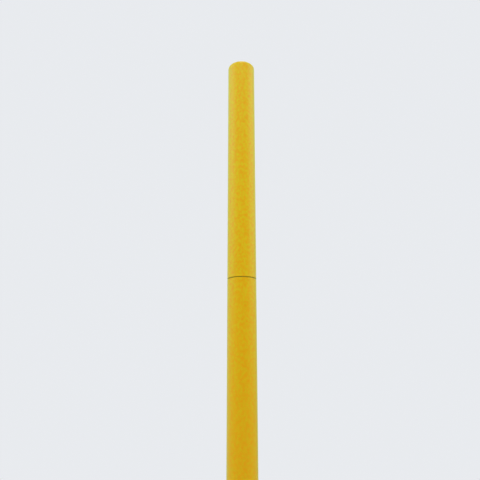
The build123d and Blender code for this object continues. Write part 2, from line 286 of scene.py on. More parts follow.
def reckon(tree, operation, first, second=None):
    """One Math node; each side is a number or a socket."""
    node = tree.nodes.new("ShaderNodeMath")
    node.operation = operation
    for index, side in enumerate((first, second)):
        if isinstance(side, bpy.types.NodeSocket):
            tree.links.new(side, node.inputs[index])
        elif side is not None:
            node.inputs[index].default_value = side
    return node.outputs["Value"]


def axis_distance(tree):
    """Distance from the shaft's axis, and height on it, of the point being shaded."""
    place = tree.nodes.new("ShaderNodeTexCoord")
    split = tree.nodes.new("ShaderNodeSeparateXYZ")
    tree.links.new(place.outputs["Object"], split.inputs["Vector"])
    square = reckon(tree, "ADD", reckon(tree, "MULTIPLY", split.outputs["X"], split.outputs["X"]),
                    reckon(tree, "MULTIPLY", split.outputs["Y"], split.outputs["Y"]))
    return reckon(tree, "SQRT", square), split.outputs["Z"]


def place_group(tree, group, **values):
    """A node group in a material, with this material's own values."""
    node = tree.nodes.new("ShaderNodeGroup")
    node.node_tree = group
    for label, value in values.items():
        node.inputs[label].default_value = value
    return node.outputs


def add_bump(tree, shader, height, strength, distance):
    """A height worked into the shader's normal."""
    bump = tree.nodes.new("ShaderNodeBump")
    bump.inputs["Strength"].default_value = strength
    bump.inputs["Distance"].default_value = distance
    tree.links.new(height, bump.inputs["Height"])
    tree.links.new(bump.outputs["Normal"], shader.inputs["Normal"])


def new_material(name, fixed):
    """Material with its Principled shader; values that are the same all over go on its sockets."""
    material = bpy.data.materials.new(name)
    material.use_nodes = True
    tree = material.node_tree
    shader = tree.nodes["Principled BSDF"]
    for label, value in fixed.items():
        shader.inputs[label].default_value = value
    return material, tree, shader


def mottle_group():
    """Mottle of a sprayed coat: soft patches a little longer than wide, and an orange-peel height."""
    scales = {"Patch Scale": 900.0, "Peel Scale": 2600.0}
    group, given, result = new_group("coat_mottle", scales, ("Patch", "Height"))
    patch = noise(group, object_place(group, (1.0, 1.0, 0.8)), given.outputs["Patch Scale"], 3.0, 0.6)
    group.links.new(span(group, patch, (0.36, 0.64)), result.inputs["Patch"])
    peel = noise(group, object_place(group), given.outputs["Peel Scale"])
    group.links.new(peel, result.inputs["Height"])
    return group


def rub_group():
    """Rub marks of a piece that slides along the shaft: fine broken lines up and down it, in patches."""
    group, given, result = new_group("rub_marks", {"Amount": 0.3}, ("Mask",))
    along = noise(group, object_place(group, (4600.0, 4600.0, 150.0)), 1.0, 4.0, 0.65)
    patches = span(group, noise(group, object_place(group, (1.0, 1.0, 0.4)), 210.0, 3.0), (0.46, 0.66))
    worn = reckon(group, "MULTIPLY", span(group, along, (0.56, 0.74)), patches)
    group.links.new(reckon(group, "MULTIPLY", worn, given.outputs["Amount"]), result.inputs["Mask"])
    return group


coat_mottle = mottle_group()
rub_marks = rub_group()

# The coat is painted a deeper yellow down the shaft and paler and greener at its upper end: painted shade
# low down and painted light high up, for the light that falls along the shaft.
LOW_SHADED_WARM = (0.92, 0.420, 0.000)
LOW_SHADED_COOL = (0.86, 0.510, 0.002)
HIGH_LIT_WARM = (0.94, 0.460, 0.000)
HIGH_LIT_COOL = (0.88, 0.625, 0.007)
PAINTED_LIGHT_FROM = grip_low.z - 95 * MM
PAINTED_LIGHT_TO = grip_low.z + 35 * MM
BARE_ALUMINIUM = (0.70, 0.70, 0.71)
# Painted shade laid on the broken edges at the tubes' ends, and at a share of it on the closed end.
PAINTED_SHADE = (0.44, 0.31, 0.01)
END_SHADE_SHARE = 0.35


def powder_coat(name):
    """Satin powder coat that drifts between a warm and a cooler yellow, with a faint orange peel, painted
    paler towards the top as painted light.
    Painted shade darkens the broken edges at a tube's ends and, more thinly, the closed end; the bore is
    bare."""
    material, tree, shader = new_material(name, {
        "Specular IOR Level": 0.20,
        "Sheen Weight": 0.45,
        "Sheen Roughness": 0.50,
        "Sheen Tint": (0.30, 1.0, 0.25, 1),
    })
    radius, height = axis_distance(tree)
    mottle = place_group(tree, coat_mottle)
    # Painted light: the coat is made paler and greener higher up the shaft, and darker lower down.
    painted_light_share = span(tree, height, (PAINTED_LIGHT_FROM, PAINTED_LIGHT_TO), smooth=True)
    warm = mix(tree, painted_light_share, LOW_SHADED_WARM, HIGH_LIT_WARM)
    cool = mix(tree, painted_light_share, LOW_SHADED_COOL, HIGH_LIT_COOL)
    coat = mix(tree, mottle["Patch"], warm, cool)
    # Painted shade: the broken edges at a tube's ends are darkened fully, the closed end only in part.
    edge = span(tree, radius, (shaft_r - 0.10 * MM, shaft_r - 0.01 * MM), (1.0, 0.0))
    end_shade = span(tree, height, (grip_high.z - SHAFT_D, grip_high.z - SHAFT_D / 2), (1.0, END_SHADE_SHARE))
    coat = mix(tree, reckon(tree, "MULTIPLY", edge, end_shade), coat, PAINTED_SHADE)
    bore = reckon(tree, "LESS_THAN", radius, bore_r + EDGE / 2)
    tree.links.new(mix(tree, bore, coat, BARE_ALUMINIUM), shader.inputs["Base Color"])
    tree.links.new(bore, shader.inputs["Metallic"])
    tree.links.new(span(tree, mottle["Patch"], (0, 1), (0.34, 0.46)), shader.inputs["Roughness"])
    add_bump(tree, shader, mottle["Height"], 0.12, 0.02 * MM)
    return material


powder_yellow = powder_coat("yellow_powder_coat")


def shaft_tube(name, low, high):
    """One tube from end to end, with its edges broken inside and out."""
    return turned(name, [
        (shaft_r - EDGE, low),
        (shaft_r, low + EDGE),
        (shaft_r, high - EDGE),
        (shaft_r - EDGE, high),
        (bore_r + EDGE, high),
        (bore_r, high - EDGE),
        (bore_r, low + EDGE),
        (bore_r + EDGE, low),
    ])


for number in range(1, SECTIONS + 1):
    node = f"tube_{number}"
    tube_low, tube_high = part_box(node)
    tube = shaft_tube(f"shaft_tube_{number}", tube_low.z, tube_high.z)
    place_piece(tube, powder_yellow, f"section_{number}", "shaft_finish", node)

# ---------------------------------------------------------------------------------------------
# Depth scale: a mark every centimetre from the point of the tip, a longer one every five, and every ten
# a ring, left out where it would fall on a seam, with its number above it. It is pad-printed in black on
# two opposite sides of the finished tubes.
SCALE_FROM_CM = 5
SCALE_TO_CM = 215
CM = 10 * MM
INK_PROUD = 0.02 * MM
INK_ROOT = 0.02 * MM
MARK_WIDTH = 0.45 * MM
NUMBER_SIZE = 4.6 * MM
NUMBER_ABOVE = 1.3 * MM
STRIP = 0.5 * MM
FRONT = -math.pi / 2
BACK = math.pi / 2


def join_pieces(name, pieces):
    """Several pieces made one, with its place in its mesh."""
    start_piece()
    for piece in pieces:
        piece.select_set(True)
    bpy.context.view_layer.objects.active = pieces[0]
    if len(pieces) > 1:
        bpy.ops.object.join()
    return finish_piece(pieces[0], name)


def scale_mark(name, sweep, steps, sides):
    """Printed bar round the tube at height nought, on one or both sides."""
    bar = [
        (shaft_r - INK_ROOT, -MARK_WIDTH / 2),
        (shaft_r + INK_PROUD, -MARK_WIDTH / 2),
        (shaft_r + INK_PROUD, MARK_WIDTH / 2),
        (shaft_r - INK_ROOT, MARK_WIDTH / 2),
    ]
    return join_pieces(name, [turned(name, bar, steps=steps, middle=side, sweep=sweep) for side in sides])


def copy_of(piece, place=(0, 0, 0), turn=0.0):
    """A copy with its own mesh, moved and turned about the shaft's axis."""
    twin = piece.copy()
    twin.data = piece.data.copy()
    twin.location = place
    twin.rotation_euler = (0, 0, turn)
    bpy.context.scene.collection.objects.link(twin)
    return twin


def apply_modifier(piece, kind, **settings):
    """One modifier with its settings, applied to the piece's mesh."""
    bpy.context.view_layer.objects.active = piece
    modifier = piece.modifiers.new(kind.lower(), kind)
    for label, value in settings.items():
        setattr(modifier, label, value)
    bpy.ops.object.modifier_apply(modifier=modifier.name)


def scale_number(text, height):
    """A number laid on the tube's front: flat type cut into strips, wrapped round the axis and thickened."""
    start_piece()
    place = (0, -shaft_r, height)
    bpy.ops.object.text_add(location=place, rotation=(math.pi / 2, 0, 0))
    number = bpy.context.object
    number.data.body = text
    number.data.size = NUMBER_SIZE
    number.data.align_x = "CENTER"
    number.data.resolution_u = 3
    bpy.ops.object.convert(target="MESH")
    number = bpy.context.object
    bpy.ops.object.transform_apply(location=True, rotation=True, scale=True)
    bpy.ops.object.mode_set(mode="EDIT")
    bpy.ops.mesh.select_all(action="SELECT")
    bpy.ops.mesh.remove_doubles(threshold=0.001 * MM)
    strips = math.ceil(number.dimensions.x / 2 / STRIP)
    for strip in range(1 - strips, strips):
        bpy.ops.mesh.select_all(action="SELECT")
        bpy.ops.mesh.bisect(plane_co=(strip * STRIP, 0, 0), plane_no=(1, 0, 0))
    bpy.ops.object.mode_set(mode="OBJECT")
    apply_modifier(number, "CAST", cast_type="CYLINDER", factor=1.0, use_radius_as_size=False,
                   size=shaft_r + INK_PROUD, use_z=False)
    apply_modifier(number, "SOLIDIFY", thickness=INK_PROUD + INK_ROOT, offset=-1)
    return number


def print_ink():
    """Black pad-printing ink, a little uneven and rubbed grey in places."""
    material, tree, shader = new_material("print_ink", {"Specular IOR Level": 0.3})
    rubbed = span(tree, noise(tree, object_place(tree), 1400.0, 4.0, 0.6), (0.52, 0.72))
    ink = mix(tree, rubbed, (0.012, 0.012, 0.013), (0.075, 0.070, 0.050))
    tree.links.new(ink, shader.inputs["Base Color"])
    tree.links.new(span(tree, rubbed, (0, 1), (0.42, 0.68)), shader.inputs["Roughness"])
    add_bump(tree, shader, noise(tree, object_place(tree), 3200.0), 0.15, 0.01 * MM)
    return material


black_ink = print_ink()
cm_mark = scale_mark("cm_mark", math.radians(46), 8, (FRONT, BACK))
five_mark = scale_mark("five_mark", math.radians(96), 16, (FRONT, BACK))
ten_mark = scale_mark("ten_mark", 2 * math.pi, 64, (FRONT,))

for number in range(1, SECTIONS + 1):
    tube_low, tube_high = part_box(f"tube_{number}")
    printed = []
    for reading in range(SCALE_FROM_CM, SCALE_TO_CM + 1):
        height = reading * CM
        if reading % 10 == 0 and tube_low.z - CM / 10 < height < tube_high.z - CM:
            front = scale_number(str(reading), height + NUMBER_ABOVE)
            printed += [front, copy_of(front, turn=math.pi)]
        if tube_low.z + CM / 10 < height < tube_high.z - CM / 10:
            mark = ten_mark if reading % 10 == 0 else five_mark if reading % 5 == 0 else cm_mark
            printed.append(copy_of(mark, (0, 0, height)))
    depth_scale = join_pieces(f"depth_scale_{number}", printed)
    depth_scale.data.materials.append(black_ink)
    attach(depth_scale, f"section_{number}")
for mark in (cm_mark, five_mark, ten_mark):
    bpy.data.objects.remove(mark)

# ---------------------------------------------------------------------------------------------
# Probe tip: turned from aluminium bar and clear anodised, a little wider than the shaft so that it
# opens the snow for the tubes behind it. Its grooved shank is bonded in the lowest tube.
BOND_GAP = 0.01 * MM
TIP_NOSE_R = 2.5 * MM
TIP_FULL = 15.0 * MM
TIP_LAND = 22.0 * MM
TIP_NECK = 32.0 * MM
TIP_SHANK = 30.0 * MM
GLUE_GROOVES = (8.0 * MM, 16.0 * MM)
GROOVE_WIDTH = 1.2 * MM
GROOVE_DEPTH = 0.4 * MM
CRIMP_HOLE_R = 2.6 * MM
CRIMP_HOLE_Z = 34.0 * MM
TIP_PLUG_R = 3.6 * MM
TIP_PLUG_LENGTH = 8.0 * MM
bonded_r = bore_r - BOND_GAP


def lathe_group():
    """Tool lines of a turned piece, which change along and across it but not round it, and stains."""
    group, given, result = new_group("lathe_lines", {"Fineness": 5200.0}, ("Lines", "Stain"))
    radius, height = axis_distance(group)
    place = group.nodes.new("ShaderNodeCombineXYZ")
    group.links.new(radius, place.inputs["X"])
    group.links.new(height, place.inputs["Z"])
    lines = noise(group, place.outputs["Vector"], given.outputs["Fineness"], 3.0, 0.7)
    group.links.new(lines, result.inputs["Lines"])
    stain = span(group, noise(group, object_place(group), 240.0, 4.0, 0.6), (0.38, 0.66))
    group.links.new(stain, result.inputs["Stain"])
    return group


lathe_lines = lathe_group()


def turned_metal(name, colour, stained, worn, roughness, wear, metallic=1.0):
    """Turned metal with tool lines, faint stains, and rub marks that show a worn colour."""
    material, tree, shader = new_material(name, {"Metallic": metallic})
    tool = place_group(tree, lathe_lines)
    rubbed = place_group(tree, rub_marks, Amount=wear)["Mask"]
    tint = mix(tree, tool["Stain"], colour, stained)
    tree.links.new(mix(tree, rubbed, tint, worn), shader.inputs["Base Color"])
    gloss = span(tree, tool["Lines"], (0.3, 0.7), (roughness - 0.07, roughness + 0.09))
    gloss = reckon(tree, "SUBTRACT", gloss, reckon(tree, "MULTIPLY", rubbed, 0.08))
    tree.links.new(gloss, shader.inputs["Roughness"])
    add_bump(tree, shader, tool["Lines"], 0.25, 0.012 * MM)
    return material


def glue_grooves(foot, heights, radius):
    """Outline points of the square grooves that hold the bond, going up a shank."""
    points = []
    for height in heights:
        points += [
            (radius, foot + height),
            (radius - GROOVE_DEPTH, foot + height),
            (radius - GROOVE_DEPTH, foot + height + GROOVE_WIDTH),
            (radius, foot + height + GROOVE_WIDTH),
        ]
    return points


tip_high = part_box("probe_tip")[1]
tip_r = tip_high.x
tip_seat = tip_high.z - TIP_SHANK
rise = TIP_FULL - TIP_NOSE_R
flank_deg = math.degrees(math.atan2(rise, tip_r) - math.acos(TIP_NOSE_R / math.hypot(tip_r, rise)))
tip = turned("probe_tip_turned", [
    *arc(0, TIP_NOSE_R, TIP_NOSE_R, -90, flank_deg, 12),
    (tip_r - 0.15 * MM, TIP_FULL - 0.4 * MM),
    (tip_r, TIP_FULL + 0.2 * MM),
    (tip_r, TIP_LAND),
    (shaft_r, TIP_NECK),
    (shaft_r, tip_seat),
    (bonded_r, tip_seat),
    *glue_grooves(tip_seat, GLUE_GROOVES, bonded_r),
    (bonded_r, tip_high.z - 0.6 * MM),
    (bonded_r - 0.6 * MM, tip_high.z),
    (TIP_PLUG_R, tip_high.z),
    (TIP_PLUG_R, tip_high.z - TIP_PLUG_LENGTH),
    (CRIMP_HOLE_R, tip_high.z - TIP_PLUG_LENGTH),
    (CRIMP_HOLE_R, CRIMP_HOLE_Z),
    (0, CRIMP_HOLE_Z),
], smooth_deg=14)
tip_metal = turned_metal(
    "clear_anodised_tip", (0.50, 0.51, 0.53), (0.44, 0.45, 0.46), (0.74, 0.74, 0.74), 0.30, 0.5
)
place_piece(tip, tip_metal, "section_1", "tip_metal", "probe_tip")


# ---------------------------------------------------------------------------------------------
# Tip crimp and plug: a brass sleeve pressed in three rings on the lower end of the cord, and the
# slotted screw plug that keeps it in the tip.
CORD_R = 1.0 * MM
CORD_HOLE_R = 1.5 * MM
CRIMP_R = 2.5 * MM
PRESS_R = 0.7 * MM
PRESS_OFF = 0.35 * MM


def pressed_crimp(name, low, high, presses):
    """Brass sleeve with round rings pressed in it at the given heights above its foot."""
    press_deg = math.degrees(math.acos(PRESS_OFF / PRESS_R))
    outside = []
    for height in presses:
        outside += arc(CRIMP_R + PRESS_OFF, low + height, PRESS_R, 180 + press_deg, 180 - press_deg, 6)
    ease = 0.15 * MM
    return turned(name, [
        (CORD_R + BOND_GAP, low),
        (CRIMP_R - ease, low),
        (CRIMP_R, low + ease),
        *outside,
        (CRIMP_R, high - ease),
        (CRIMP_R - ease, high),
        (CORD_R + BOND_GAP, high),
    ], steps=64)


def take_away(piece, cutters):
    """Cutters' shapes taken out of a piece."""
    cutter = join_pieces("cutter", cutters)
    start_piece()
    apply_modifier(piece, "BOOLEAN", operation="DIFFERENCE", object=cutter, solver="EXACT")
    bpy.data.objects.remove(cutter)
    piece.select_set(True)
    bpy.ops.object.shade_smooth_by_angle(angle=math.radians(30))
    return piece


def saw(width, depth, top):
    """Block as wide as a saw cut, right across the shaft, from a depth up past a piece's top."""
    start_piece()
    bpy.ops.mesh.primitive_cube_add(size=1.0, location=(0, 0, top))
    block = bpy.context.object
    block.scale = (3 * shaft_r, width, 2 * depth)
    bpy.ops.object.transform_apply(location=True, rotation=True, scale=True)
    return block


crimp_brass = turned_metal(
    "crimp_brass", (0.62, 0.44, 0.17), (0.40, 0.27, 0.11), (0.78, 0.62, 0.30), 0.36, 0.5
)
crimp_low, crimp_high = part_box("tip_crimp")
tip_crimp = pressed_crimp("tip_crimp_sleeve", crimp_low.z, crimp_high.z, (3.5 * MM, 7.0 * MM, 10.5 * MM))
place_piece(tip_crimp, crimp_brass, "section_1", "crimp_brass", "tip_crimp")

plug_low, plug_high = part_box("tip_plug")
plug_r = TIP_PLUG_R - BOND_GAP
tip_plug = turned("tip_plug_screw", [
    (CORD_HOLE_R, plug_low.z),
    (plug_r - 0.3 * MM, plug_low.z),
    (plug_r, plug_low.z + 0.3 * MM),
    (plug_r, plug_high.z - 0.2 * MM),
    (plug_r - 0.2 * MM, plug_high.z),
    (CORD_HOLE_R + 0.3 * MM, plug_high.z),
    (CORD_HOLE_R, plug_high.z - 0.3 * MM),
], steps=64)
take_away(tip_plug, [saw(1.0 * MM, 1.2 * MM, plug_high.z)])
bright_metal = turned_metal(
    "bright_aluminium", (0.66, 0.67, 0.69), (0.54, 0.54, 0.56), (0.84, 0.84, 0.85), 0.26, 0.6
)
place_piece(tip_plug, bright_metal, "section_1", "bright_metal", "tip_plug")

# ---------------------------------------------------------------------------------------------
# Ferrules: joining sleeves of drawn aluminium tube, clear anodised, bonded in the top of each lower
# tube and a running fit in the tube above, which rubs them along their length.
RUNNING_GAP = 0.05 * MM
FERRULE_BORE_R = 4.5 * MM
FERRULE_BELOW = 34.0 * MM
running_r = bore_r - RUNNING_GAP


def drawn_metal(name):
    """Drawn and anodised tube: faint draw lines, stains, and rub marks from the tube over it."""
    material, tree, shader = new_material(name, {"Metallic": 1.0})
    draw = noise(tree, object_place(tree, (4200.0, 4200.0, 45.0)), 1.0, 3.0, 0.6)
    stain = span(tree, noise(tree, object_place(tree), 180.0, 4.0), (0.40, 0.66))
    rubbed = place_group(tree, rub_marks, Amount=1.0)["Mask"]
    tint = mix(tree, stain, (0.64, 0.65, 0.67), (0.52, 0.53, 0.55))
    tree.links.new(mix(tree, rubbed, tint, (0.83, 0.83, 0.84)), shader.inputs["Base Color"])
    tree.links.new(span(tree, draw, (0.3, 0.7), (0.28, 0.44)), shader.inputs["Roughness"])
    add_bump(tree, shader, draw, 0.20, 0.010 * MM)
    return material


ferrule_metal = drawn_metal("drawn_anodised_ferrule")
for number in range(1, SECTIONS):
    node = f"ferrule_{number}"
    ferrule_low, ferrule_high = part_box(node)
    seam = ferrule_low.z + FERRULE_BELOW
    ferrule = turned(f"joining_ferrule_{number}", [
        (FERRULE_BORE_R, ferrule_low.z),
        (bonded_r - 0.5 * MM, ferrule_low.z),
        (bonded_r, ferrule_low.z + 0.5 * MM),
        (bonded_r, seam - 1.0 * MM),
        (running_r, seam - 0.8 * MM),
        (running_r, ferrule_high.z - 0.4 * MM),
        (running_r - 0.1 * MM, ferrule_high.z - 0.1 * MM),
        (running_r - 0.3 * MM, ferrule_high.z),
        (FERRULE_BORE_R, ferrule_high.z),
    ])
    place_piece(ferrule, ferrule_metal, f"section_{number}", "ferrule_metal", node)


# ---------------------------------------------------------------------------------------------
# Ferrule noses: tapered plugs of black acetal pressed into the ferrules' tops, so that the next tube
# finds its way on. The mouth of each is flared for the cord.
NOSE_STEM = 8.0 * MM
NOSE_FOOT_R = 5.2 * MM
NOSE_TOP_R = 3.6 * MM
NOSE_MOUTH_R = 2.6 * MM


def acetal(name, colour, scuffed):
    """Moulded acetal: even and waxy, with a very fine grain and grey scuffs."""
    material, tree, shader = new_material(name, {"Specular IOR Level": 0.45, "IOR": 1.48})
    rubbed = place_group(tree, rub_marks, Amount=0.8)["Mask"]
    grain = noise(tree, object_place(tree), 3800.0, 3.0, 0.6)
    cloud = span(tree, noise(tree, object_place(tree), 300.0, 3.0), (0.35, 0.65))
    tint = mix(tree, cloud, colour, tuple(1.35 * part for part in colour))
    tree.links.new(mix(tree, rubbed, tint, scuffed), shader.inputs["Base Color"])
    tree.links.new(span(tree, grain, (0.3, 0.7), (0.38, 0.52)), shader.inputs["Roughness"])
    add_bump(tree, shader, grain, 0.12, 0.015 * MM)
    return material


nose_acetal = acetal("black_acetal_nose", (0.022, 0.022, 0.024), (0.16, 0.16, 0.16))
for number in range(1, SECTIONS):
    node = f"ferrule_nose_{number}"
    nose_low, nose_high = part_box(node)
    foot = nose_low.z + NOSE_STEM
    stem_r = FERRULE_BORE_R - BOND_GAP
    flare_r = NOSE_MOUTH_R + 0.4 * MM
    nose = turned(f"ferrule_nose_plug_{number}", [
        (CORD_HOLE_R + 0.8 * MM, nose_low.z),
        (stem_r - 0.4 * MM, nose_low.z),
        (stem_r, nose_low.z + 0.6 * MM),
        (stem_r, foot),
        (NOSE_FOOT_R, foot),
        (NOSE_FOOT_R, foot + 0.3 * MM),
        *arc(NOSE_TOP_R - 0.4 * MM, nose_high.z - 0.9 * MM, 0.9 * MM, 14, 90, 6),
        (NOSE_MOUTH_R, nose_high.z),
        *arc(flare_r, nose_high.z - 2.5 * MM, flare_r - CORD_HOLE_R, 120, 180, 5),
        (CORD_HOLE_R, nose_low.z + 2.0 * MM),
    ], steps=96)
    place_piece(nose, nose_acetal, f"section_{number}", "nose_plastic", node)

# ---------------------------------------------------------------------------------------------
# Tension cord: a braided high-modulus cord with one dark tracer strand, from its crimp in the tip
# straight up through every section to inside the cord lock.
BRAID_SIDES = 12
BRAID_ROWS = 12
BRAID_ROW = 0.45 * MM
BRAID_VALLEY = 0.91


def braided_cord(name, low, length):
    """Cord on the axis: a stretch of braid with every second crossing raised, repeated to its length."""
    start_piece()
    bpy.ops.mesh.primitive_circle_add(vertices=BRAID_SIDES, radius=CORD_R * BRAID_VALLEY)
    cord = bpy.context.object
    bpy.ops.object.mode_set(mode="EDIT")
    bpy.ops.mesh.select_mode(type="VERT")
    bpy.ops.mesh.select_all(action="SELECT")
    for row in range(BRAID_ROWS):
        bpy.ops.mesh.extrude_region_move(TRANSFORM_OT_translate={"value": (0, 0, BRAID_ROW)})
    bpy.ops.mesh.select_all(action="DESELECT")
    bpy.ops.object.mode_set(mode="OBJECT")
    tracer = cord.data.attributes.new("tracer", "FLOAT", "POINT")
    for index, vertex in enumerate(cord.data.vertices):
        row = round(vertex.co.z / BRAID_ROW)
        side = round(math.atan2(vertex.co.y, vertex.co.x) / (2 * math.pi) * BRAID_SIDES)
        vertex.select = (row + side) % 2 == 0
        tracer.data[index].value = float((row - side) % BRAID_SIDES == 0)
    bpy.ops.object.mode_set(mode="EDIT")
    raised = 1 / BRAID_VALLEY
    bpy.ops.transform.resize(value=(raised, raised, 1), center_override=(0, 0, 0))
    bpy.ops.object.mode_set(mode="OBJECT")
    stretch = BRAID_ROWS * BRAID_ROW
    apply_modifier(cord, "ARRAY", use_relative_offset=False, use_constant_offset=True,
                   constant_offset_displace=(0, 0, stretch), count=round(length / stretch),
                   use_merge_vertices=True, merge_threshold=0.02 * MM)
    bpy.ops.object.mode_set(mode="EDIT")
    bpy.ops.mesh.select_all(action="SELECT")
    bpy.ops.mesh.fill_holes(sides=0)
    bpy.ops.mesh.normals_make_consistent(inside=False)
    cord.scale = (1, 1, length / (round(length / stretch) * stretch))
    cord.location = (0, 0, low)
    return finish_piece(cord, name, 60)


def braid_fibre():
    """Off-white braided fibre with a dark tracer, greyed a little where it has run through the lock."""
    material, tree, shader = new_material("braided_cord", {
        "Specular IOR Level": 0.25,
        "Sheen Weight": 0.35,
        "Sheen Roughness": 0.5,
    })
    tracer = tree.nodes.new("ShaderNodeAttribute")
    tracer.attribute_name = "tracer"
    strand = span(tree, tracer.outputs["Fac"], (0.35, 0.65))
    soil = span(tree, noise(tree, object_place(tree, (1.0, 1.0, 0.15)), 420.0, 3.0), (0.40, 0.70))
    pale = mix(tree, soil, (0.72, 0.72, 0.68), (0.50, 0.49, 0.45))
    tree.links.new(mix(tree, strand, pale, (0.03, 0.05, 0.10)), shader.inputs["Base Color"])
    fibres = noise(tree, object_place(tree, (1.0, 1.0, 0.35)), 5200.0, 3.0, 0.65)
    tree.links.new(span(tree, fibres, (0.3, 0.7), (0.62, 0.85)), shader.inputs["Roughness"])
    add_bump(tree, shader, fibres, 0.35, 0.03 * MM)
    return material


cord_fibre = braid_fibre()
cord_low, cord_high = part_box("tension_cord")
tension_cord = braided_cord("tension_cord_braid", cord_low.z, cord_high.z - cord_low.z)
place_piece(tension_cord, cord_fibre, "section_1", "cord_fibre", "tension_cord")

# ---------------------------------------------------------------------------------------------
# Cord lock housing: turned aluminium, black anodised. Its shank is bonded in the top of the sixth tube,
# the spigot above it carries the grip, and inside is the cone that closes the jaws on the cord.
LOCK_BORE_R = 4.65 * MM
CONE_DEG = 10.0
CONE_GAP = 0.04 * MM
JAW_TOP_R = 4.2 * MM
JAW_LENGTH = 8.0 * MM
JAW_ABOVE_SEAM = 5.0 * MM
ORING_R = 0.6 * MM
ORING_ABOVE_SEAM = 3.0 * MM
cone_slope = math.tan(math.radians(CONE_DEG))
top_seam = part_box("tube_6")[1].z
jaw_top = top_seam + JAW_ABOVE_SEAM
body_low, body_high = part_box("lock_body")
seat_top = jaw_top + (LOCK_BORE_R - JAW_TOP_R - CONE_GAP) / cone_slope
seat_foot = jaw_top - JAW_LENGTH - 0.6 * MM
groove_low = top_seam + ORING_ABOVE_SEAM - ORING_R - 0.15 * MM
groove_high = top_seam + ORING_ABOVE_SEAM + ORING_R + 0.15 * MM
groove_r = bore_r - 2 * ORING_R - 0.04 * MM

lock_body = turned("cord_lock_housing", [
    (CORD_HOLE_R + 1.0 * MM, body_low.z),
    (bonded_r - 0.5 * MM, body_low.z),
    (bonded_r, body_low.z + 0.5 * MM),
    *glue_grooves(body_low.z, (6.0 * MM, 13.0 * MM), bonded_r),
    (bonded_r, top_seam - 1.0 * MM),
    (running_r, top_seam - 0.8 * MM),
    (running_r, groove_low),
    (groove_r, groove_low),
    (groove_r, groove_high),
    (running_r, groove_high),
    (running_r, body_high.z - 0.4 * MM),
    (running_r - 0.1 * MM, body_high.z - 0.1 * MM),
    (running_r - 0.4 * MM, body_high.z),
    (LOCK_BORE_R, body_high.z),
    (LOCK_BORE_R, seat_top),
    (JAW_TOP_R + CONE_GAP - (jaw_top - seat_foot) * cone_slope, seat_foot),
    (CORD_HOLE_R, seat_foot),
    (CORD_HOLE_R, body_low.z + 2.0 * MM),
], smooth_deg=20)
black_anodised = turned_metal(
    "black_anodised_lock", (0.030, 0.030, 0.033), (0.045, 0.044, 0.046), (0.30, 0.30, 0.31), 0.36, 0.35,
    metallic=0.7,
)
place_piece(lock_body, black_anodised, "section_6", "lock_housing", "lock_body")


# ---------------------------------------------------------------------------------------------
# Lock seal: a moulded nitrile ring in the spigot's groove, with a fine flash line round its outside.
# It holds the grip by friction and keeps water off the jaws.
oring_low, oring_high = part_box("lock_oring")
oring_z = (oring_low.z + oring_high.z) / 2
oring_centre_r = oring_high.x - ORING_R
FLASH = 0.02 * MM
oring_round = arc(oring_centre_r, oring_z, ORING_R, 8, 352, 22)
lock_oring = turned("lock_seal_ring", [
    (oring_centre_r + ORING_R - 0.01 * MM, oring_z - FLASH),
    (oring_centre_r + ORING_R, oring_z),
    (oring_centre_r + ORING_R - 0.01 * MM, oring_z + FLASH),
    *oring_round,
])


def nitrile():
    """Black nitrile rubber, dull, with a greasy sheen in patches and a little grit."""
    material, tree, shader = new_material("nitrile_rubber", {"Specular IOR Level": 0.35})
    grease = span(tree, noise(tree, object_place(tree), 700.0, 3.0), (0.38, 0.66))
    rubber = mix(tree, grease, (0.010, 0.010, 0.010), (0.028, 0.027, 0.025))
    tree.links.new(rubber, shader.inputs["Base Color"])
    tree.links.new(span(tree, grease, (0, 1), (0.42, 0.70)), shader.inputs["Roughness"])
    add_bump(tree, shader, noise(tree, object_place(tree), 4200.0), 0.2, 0.01 * MM)
    return material


place_piece(lock_oring, nitrile(), "section_6", "seal_rubber", "lock_oring")


# ---------------------------------------------------------------------------------------------
# Lock cap: a ring screwed into the top of the housing, with two spanner slots sawn across it. The
# release spring bears on its underside.
STEM_R = 3.0 * MM
CAP_FLANGE = 1.2 * MM
cap_low, cap_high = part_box("lock_cap")
flange_r = cap_high.x
cap_hole_r = STEM_R + 0.1 * MM
lock_cap = turned("cord_lock_cap", [
    (cap_hole_r, cap_low.z),
    (LOCK_BORE_R - BOND_GAP, cap_low.z),
    (LOCK_BORE_R - BOND_GAP, cap_high.z - CAP_FLANGE),
    (flange_r - 0.2 * MM, cap_high.z - CAP_FLANGE),
    (flange_r, cap_high.z - CAP_FLANGE + 0.2 * MM),
    (flange_r, cap_high.z - 0.2 * MM),
    (flange_r - 0.2 * MM, cap_high.z),
    (cap_hole_r + 0.2 * MM, cap_high.z),
    (cap_hole_r, cap_high.z - 0.2 * MM),
])
take_away(lock_cap, [saw(1.2 * MM, 0.6 * MM, cap_high.z)])
place_piece(lock_cap, black_anodised, "section_6", "lock_housing", "lock_cap")


